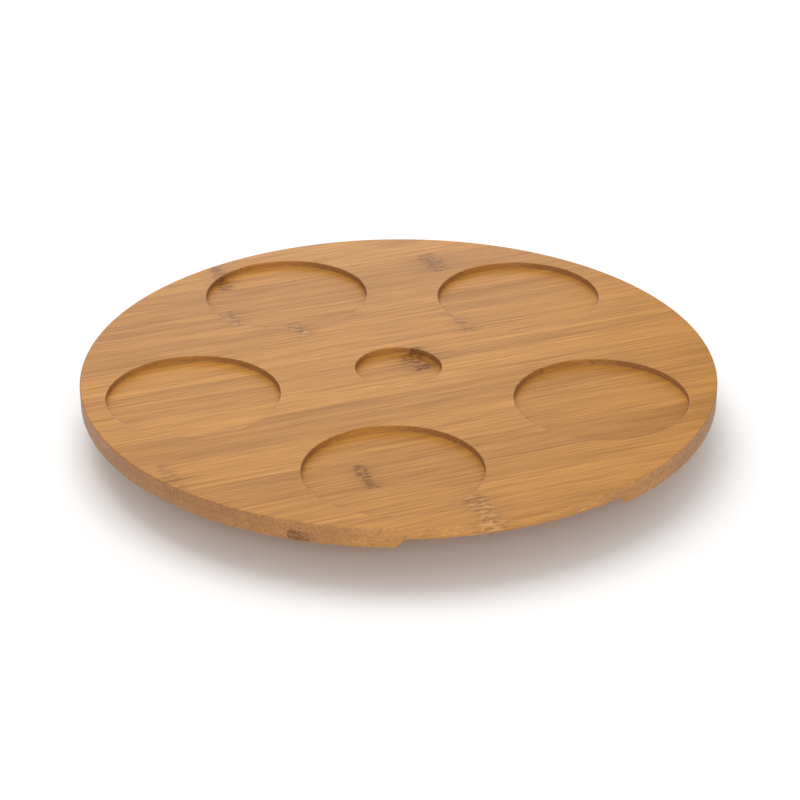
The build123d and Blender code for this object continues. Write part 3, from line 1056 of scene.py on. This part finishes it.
@dataclass(frozen=True)
class Bearing:
    """The ring bearing: races, rivets, screws, cage and balls."""

    ball_radius: float = 2.0 * MM
    ball_orbit: float = 60.0 * MM
    ball_count: int = 24
    groove_radius: float = 2.05 * MM
    wall_offset: float = 0.9 * MM
    chamfer: float = 0.4 * MM
    pocket_radius: float = 2.08 * MM
    cage_half_thickness: float = 0.6 * MM
    rivet_radius: float = 1.5 * MM
    rivet_head_radius: float = 2.6 * MM
    inner_bore: float = 48.0 * MM
    inner_orbit: float = 53.5 * MM
    clearance_radius: float = 1.75 * MM
    countersink_radius: float = 3.3 * MM
    outer_orbit: float = 66.0 * MM
    fastener_count: int = 6
    screw_length: float = 12.0 * MM
    tapped_depth: float = 5.5 * MM
    tapped_radius: float = 1.5 * MM

    @property
    def ball_height(self) -> float:
        """Height of the balls' centres."""
        low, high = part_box("ball_01")
        return (low[2] + high[2]) / 2

    def outer_race(self, finish: bpy.types.Material) -> None:
        """The outer race: a ring with the ball groove in its bore and six tapped holes from below."""
        low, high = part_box("bearing_outer_race")
        radius, bore, c = high[0], self.ball_orbit + self.wall_offset, self.chamfer
        lip = math.degrees(math.acos(self.wall_offset / self.groove_radius))
        groove = arc((self.ball_orbit, self.ball_height), self.groove_radius, lip, -lip, 16)
        tapped = [
            [self.tapped_radius, low[2]],
            [self.tapped_radius, low[2] + self.tapped_depth],
            [0.0, low[2] + self.tapped_depth],
        ]
        outside = [
            [radius - c, low[2]],
            [radius, low[2] + c],
            [radius, high[2] - c],
            [radius - c, high[2]],
            [bore + c, high[2]],
            [bore, high[2] - c],
            *groove.tolist(),
            [bore, low[2] + c],
            [bore + c, low[2]],
        ]
        shape = DrilledDisc(
            face=low[2],
            inner=bore + c,
            outer=radius - c,
            orbit=self.outer_orbit,
            count=self.fastener_count,
            first=0.0,
            holes=(np.array(tapped),),
            bodies=(np.array(outside),),
            steps=48,
        )
        fitted(sewn("outer_race", shape.grids(), 25), Body.BASE, finish, "bearing_outer_race")

    def inner_race(self, node: str, name: str, up: bool, finish: bpy.types.Material) -> None:
        """One half of the inner race, split at the balls' height; screw and rivet holes take turns in it.

        Args:
            node: The CAD node that it stands for.
            name: The new piece's name.
            up: Whether it is the upper half.
            finish: Its material.
        """
        low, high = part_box(node)
        face, split = (high[2], low[2]) if up else (low[2], high[2])
        way = math.copysign(1.0, split - face)
        bore, wall, c = self.inner_bore, self.ball_orbit - self.wall_offset, self.chamfer
        deep = self.ball_orbit - self.groove_radius
        lip = math.degrees(math.acos(self.wall_offset / self.groove_radius))
        groove = arc((self.ball_orbit, split), self.groove_radius, 180 + way * lip, 180, 16)
        outside = [[wall - c, face], [wall, face + way * c], *groove.tolist()]
        inside = [[bore, split], [bore, face + way * c], [bore + c, face]]
        passing, sunk = self.clearance_radius, self.countersink_radius
        plain = [[passing, face], [passing, split]]
        screw = plain if up else [[sunk, face], [passing, face + way * (sunk - passing)], [passing, split]]
        rivet = [
            [self.rivet_head_radius, face],
            [self.rivet_radius, face + way * (self.rivet_head_radius - self.rivet_radius)],
            [self.rivet_radius, split],
        ]
        shape = DrilledDisc(
            face=face,
            inner=bore + c,
            outer=wall - c,
            orbit=self.inner_orbit,
            count=2 * self.fastener_count,
            first=0.0,
            holes=(np.array(screw), np.array(rivet)),
            bodies=(np.array(outside), np.array(inside)),
            steps=32,
            far_face=(split, bore, deep),
        )
        fitted(sewn(name, shape.grids(), 25), Body.TURNTABLE, finish, node)

    def rivets(self, finish: bpy.types.Material) -> None:
        """Six rivets, flush at both faces of the inner race, with a shallow dimple from setting."""
        low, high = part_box("bearing_rivets")
        cone = self.rivet_head_radius - self.rivet_radius
        dimple = 0.15 * MM
        half = [[0.0, dimple], [0.8 * MM, dimple], [1.1 * MM, 0.0], [self.rivet_head_radius - 0.1 * MM, 0.0]]
        half += [[self.rivet_head_radius, 0.1 * MM], [self.rivet_radius, cone]]
        lower = [[r, low[2] + z] for r, z in half]
        upper = [[r, high[2] - z] for r, z in half[::-1]]
        grid = carried_round(np.array(lower + upper), np.linspace(0, 2 * math.pi, 32, endpoint=False))
        grids = ring_of([grid], self.inner_orbit, self.fastener_count, 180 / self.fastener_count)
        fitted(sewn("race_rivets", grids, 25), Body.TURNTABLE, finish, "bearing_rivets")

    def screws(self, finish: bpy.types.Material) -> None:
        """Six wood screws up through the inner race into the board."""
        low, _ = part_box("board_screws")
        screw = CrossScrew(low[2], self.screw_length, pitch=1.2 * MM, thread_depth=0.4 * MM, point=3.0 * MM)
        grids = ring_of(screw.grids(), self.inner_orbit, self.fastener_count)
        fitted(sewn("board_wood_screws", grids, 35), Body.TURNTABLE, finish, "board_screws")

    def cage_sector(self, radius: float, half_height: float) -> np.ndarray:
        """One pocket's share of a cage wall: rings from the pocket's circle to the edges of its sector.

        A point at a distance t sideways from the pocket's middle lies at the angle asin(t / radius) on the wall.

        Args:
            radius: The wall's radius.
            half_height: Half of the cage's height.

        Returns:
            A grid of points about +X.
        """
        side = radius * math.sin(math.pi / self.ball_count)
        along = np.linspace(-1.0, 1.0, 12, endpoint=False)
        ones = np.ones_like(along)
        square = np.concatenate(
            [
                np.stack([side * along, -half_height * ones], axis=-1),
                np.stack([side * ones, half_height * along], axis=-1),
                np.stack([-side * along, half_height * ones], axis=-1),
                np.stack([-side * ones, -half_height * along], axis=-1),
            ]
        )
        square = np.concatenate([square, square[:1]])
        way = square / np.linalg.norm(square, axis=1, keepdims=True)
        circle = self.pocket_radius * way
        plan = circle + (square - circle) * np.linspace(0.0, 1.0, 4)[:, None, None]
        t, z = plan[..., 0], plan[..., 1] + self.ball_height
        return np.stack([np.sqrt(radius**2 - t**2), t, z], axis=-1)

    def cage(self, finish: bpy.types.Material) -> None:
        """The cage: a thin ring with a round pocket for each ball."""
        low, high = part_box("ball_cage")
        half_height = (high[2] - low[2]) / 2
        outside = self.cage_sector(self.ball_orbit + self.cage_half_thickness, half_height)
        inside = self.cage_sector(self.ball_orbit - self.cage_half_thickness, half_height)
        pocket = np.stack([outside[0], inside[0]])
        brim = np.stack([outside[-1, 24:37], inside[-1, 24:37]])
        base = np.stack([outside[-1, :13], inside[-1, :13]])
        grids = [
            turned(grid, 360 / self.ball_count * k)
            for k in range(self.ball_count)
            for grid in (outside, inside, pocket, brim, base)
        ]
        fitted(sewn("cage_ring", grids, 30), Body.CAGE, finish, "ball_cage")

    def balls(self, finish: bpy.types.Material) -> None:
        """The balls, each a half circle carried round its own axis."""
        half = arc((0.0, self.ball_height), self.ball_radius, -90, 90, 20)
        half[[0, -1], 0] = 0.0
        grid = carried_round(half, np.linspace(0, 2 * math.pi, 40, endpoint=False))
        for k, ball in enumerate(ring_of([grid], self.ball_orbit, self.ball_count)):
            node = f"ball_{k + 1:02d}"
            fitted(sewn(f"bearing_{node}", [ball]), Body.CAGE, finish, node)

    def build(self, zinc: bpy.types.Material) -> None:
        """Builds the bearing's pieces.

        Args:
            zinc: The screws' finish.
        """
        aluminium = RACE_ALUMINIUM.material()
        self.outer_race(aluminium)
        self.inner_race("bearing_inner_lower_race", "inner_race_lower_half", False, aluminium)
        self.inner_race("bearing_inner_upper_race", "inner_race_upper_half", True, aluminium)
        self.rivets(RIVET_ALUMINIUM.material())
        self.screws(zinc)
        self.cage(NYLON.material())
        self.balls(BALL_STEEL.material())


@dataclass(frozen=True)
class Base:
    """The standing base: two bamboo plies, the outer race's screws and rubber feet."""

    edge_round: float = 1.5 * MM
    seam_round: float = 0.12 * MM
    screw_orbit: float = 66.0 * MM
    screw_count: int = 6
    clearance_radius: float = 1.75 * MM
    countersink_radius: float = 3.3 * MM
    screw_length: float = 15.0 * MM
    middle: float = 20.0 * MM
    foot_top_radius: float = 8.0 * MM
    foot_tread_radius: float = 6.8 * MM
    foot_orbit: float = 82.0 * MM
    foot_count: int = 6

    def ply(self, node: str, name: str, holes: list[list[float]], up: bool, finish: Bamboo) -> None:
        """One ply of the base, its drilled face outwards.

        Args:
            node: The CAD node that it stands for.
            name: The new piece's name.
            holes: Distances from a hole's axis and depths, from its mouth.
            up: Whether the outer face is the upper one.
            finish: Its bamboo.
        """
        low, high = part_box(node)
        face, back = (high[2], low[2]) if up else (low[2], high[2])
        radius = high[0]
        hole = np.array([[r, face + math.copysign(depth, back - face)] for r, depth in holes])
        shape = DrilledDisc(
            face=face,
            inner=self.middle,
            outer=radius - self.edge_round - SUPPORT,
            orbit=self.screw_orbit,
            count=self.screw_count,
            first=0.0,
            holes=(hole,),
            bodies=(
                rim_profile(radius, face, back, self.edge_round, self.seam_round),
                np.array([[self.middle, face], [0.0, face]]),
                np.array([[self.middle, back], [0.0, back]]),
            ),
            steps=64,
            far_face=(back, self.middle, radius - self.seam_round - SUPPORT),
        )
        fitted(sewn(name, shape.grids()), Body.BASE, finish.material(), node)

    def screws(self, finish: bpy.types.Material) -> None:
        """Six machine screws up through the base into the outer race."""
        low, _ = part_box("base_screws")
        grids = ring_of(CrossScrew(low[2], self.screw_length).grids(), self.screw_orbit, self.screw_count)
        fitted(sewn("base_machine_screws", grids, 35), Body.BASE, finish, "base_screws")

    def feet(self, finish: bpy.types.Material) -> None:
        """Six rubber feet: a tapered pad with a rounded tread and a shallow ring round its middle."""
        low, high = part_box("foot_1")
        top, tread, height = self.foot_top_radius, self.foot_tread_radius, high[2] - low[2]
        corner = arc((tread - 0.6 * MM, 0.6 * MM), 0.6 * MM, -90, -10, 5)
        ring = [[2.2 * MM, 0.0], [2.4 * MM, 0.35 * MM], [3.4 * MM, 0.35 * MM], [3.6 * MM, 0.0]]
        side = [[top - 0.12 * MM, height - 0.3 * MM], [top, height - 0.12 * MM], [top, height], [0.0, height]]
        rows = [[0.0, 0.0], *ring, [tread - 0.6 * MM - SUPPORT, 0.0], *corner.tolist(), *side]
        grid = carried_round(np.array(rows), np.linspace(0, 2 * math.pi, 64, endpoint=False))
        for k, foot in enumerate(ring_of([grid], self.foot_orbit, self.foot_count, 180 / self.foot_count)):
            fitted(sewn(f"rubber_foot_{k + 1}", [foot]), Body.BASE, finish, f"foot_{k + 1}")

    def build(self, zinc: bpy.types.Material) -> None:
        """Builds the base's pieces.

        Args:
            zinc: The screws' finish.
        """
        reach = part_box("board_top_ply")[1][0]
        low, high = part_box("base_top_ply")
        thick = high[2] - low[2]
        cone = self.countersink_radius - self.clearance_radius
        plain = [[self.clearance_radius, 0.0], [self.clearance_radius, thick]]
        sunk = [[self.countersink_radius, 0.0], [self.clearance_radius, cone], [self.clearance_radius, thick]]
        upper = Bamboo("caramelised_bamboo_base_upper_ply", chance_strips(23), reach, seed=0.23)
        lower = Bamboo("caramelised_bamboo_base_lower_ply", chance_strips(31), reach, seed=0.87)
        self.ply("base_top_ply", "base_top", plain, True, upper)
        self.ply("base_bottom_ply", "base_bottom", sunk, False, lower)
        self.screws(zinc)
        self.feet(RUBBER.material())


@dataclass(frozen=True)
class Studio:
    """A pale floor, soft light and the camera.

    Attributes:
        azimuth: The camera's turn from the view along +Y, in degrees.
        elevation: Its height angle, in degrees.
        roll: Its roll, in degrees.
        distance: From the middle of the board's top.
        across: How far the camera's axis passes to the right of the top's middle.
        below: How far it passes below it.
        lens: Focal length in millimetres on a 36 mm sensor.
    """

    azimuth: float = -21.0
    elevation: float = 27.61
    roll: float = -0.20
    distance: float = 1.122
    across: float = 0.71 * MM
    below: float = 15.83 * MM
    lens: float = 106.6

    def axes(self) -> tuple[Vector, Vector, Vector]:
        """The camera's right, up and forward directions."""
        a, e, roll = (math.radians(v) for v in (self.azimuth, self.elevation, self.roll))
        level = Vector((math.cos(a), math.sin(a), 0.0))
        forward = Vector((-math.sin(a) * math.cos(e), math.cos(a) * math.cos(e), -math.sin(e)))
        upright = level.cross(forward)
        right = level * math.cos(roll) + upright * math.sin(roll)
        return right, right.cross(forward), forward

    def camera(self) -> None:
        """Creates the camera and makes it the scene's."""
        right, up, forward = self.axes()
        aim = Vector((0.0, 0.0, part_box("board_top_ply")[1][2]))
        place = aim - forward * self.distance + right * self.across - up * self.below
        data = bpy.data.cameras.new("camera")
        data.lens, data.sensor_width = self.lens, 36.0
        camera = bpy.data.objects.new("camera", data)
        frame = Matrix((right, up, -forward)).transposed().to_4x4()
        camera.matrix_world = Matrix.Translation(place) @ frame
        bpy.context.scene.collection.objects.link(camera)
        bpy.context.scene.camera = camera

    def softbox(self, name: str, place: tuple[float, float, float], size: float, watts: float) -> None:
        """A square area light aimed at the board.

        Args:
            name: Its name.
            place: Where it stands, with X to the camera's right and Y away from it.
            size: Side of the square.
            watts: Its power.
        """
        data = bpy.data.lights.new(name, "AREA")
        data.size, data.energy = size, watts
        light = bpy.data.objects.new(name, data)
        there = Matrix.Rotation(math.radians(self.azimuth), 3, "Z") @ Vector(place)
        light.rotation_euler = there.to_track_quat("Z", "Y").to_euler()
        light.location = there
        bpy.context.scene.collection.objects.link(light)

    def floor(self) -> None:
        """A plain pale floor."""
        half = 4.0
        mesh = bpy.data.meshes.new("floor")
        mesh.from_pydata([(-half, -half, 0), (half, -half, 0), (half, half, 0), (-half, half, 0)], [], [(0, 1, 2, 3)])
        material, shader = new_material("white_paper_sweep")
        shader.inputs["Base Color"].default_value = linear("#FAFAFA")
        shader.inputs["Roughness"].default_value = 0.9
        shader.inputs["Specular IOR Level"].default_value = 0.2
        mesh.materials.append(material)
        floor = bpy.data.objects.new("floor", mesh)
        bpy.context.scene.collection.objects.link(floor)

    def build(self) -> None:
        """Sets up the camera, the floor, the lights and a plain view of the colours."""
        self.camera()
        self.floor()
        world = bpy.data.worlds.new("studio")
        world.use_nodes = True
        backdrop = world.node_tree.nodes["Background"]
        backdrop.inputs["Color"].default_value = linear("#FFFFFF")
        backdrop.inputs["Strength"].default_value = 0.62
        bpy.context.scene.world = world
        self.softbox("overhead_softbox", (-0.2, 0.3, 1.4), 1.1, 9.5)
        self.softbox("back_softbox", (-0.1, 1.0, 0.36), 0.6, 2.8)
        self.softbox("front_softbox", (0.1, -1.3, 0.45), 0.9, 7.5)
        bpy.context.scene.view_settings.view_transform = "Standard"


def main() -> None:
    """Builds everything round the frame."""
    logging.basicConfig(level=logging.INFO, format="%(name)s: %(message)s")
    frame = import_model()
    LOG.info("the frame holds %d CAD nodes", len(frame["nodes"]))
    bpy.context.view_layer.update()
    Studio().build()
    zinc = ZINC_STEEL.material()
    Board().build()
    Bearing().build(zinc)
    Base().build(zinc)


if __name__ == "__main__":
    main()
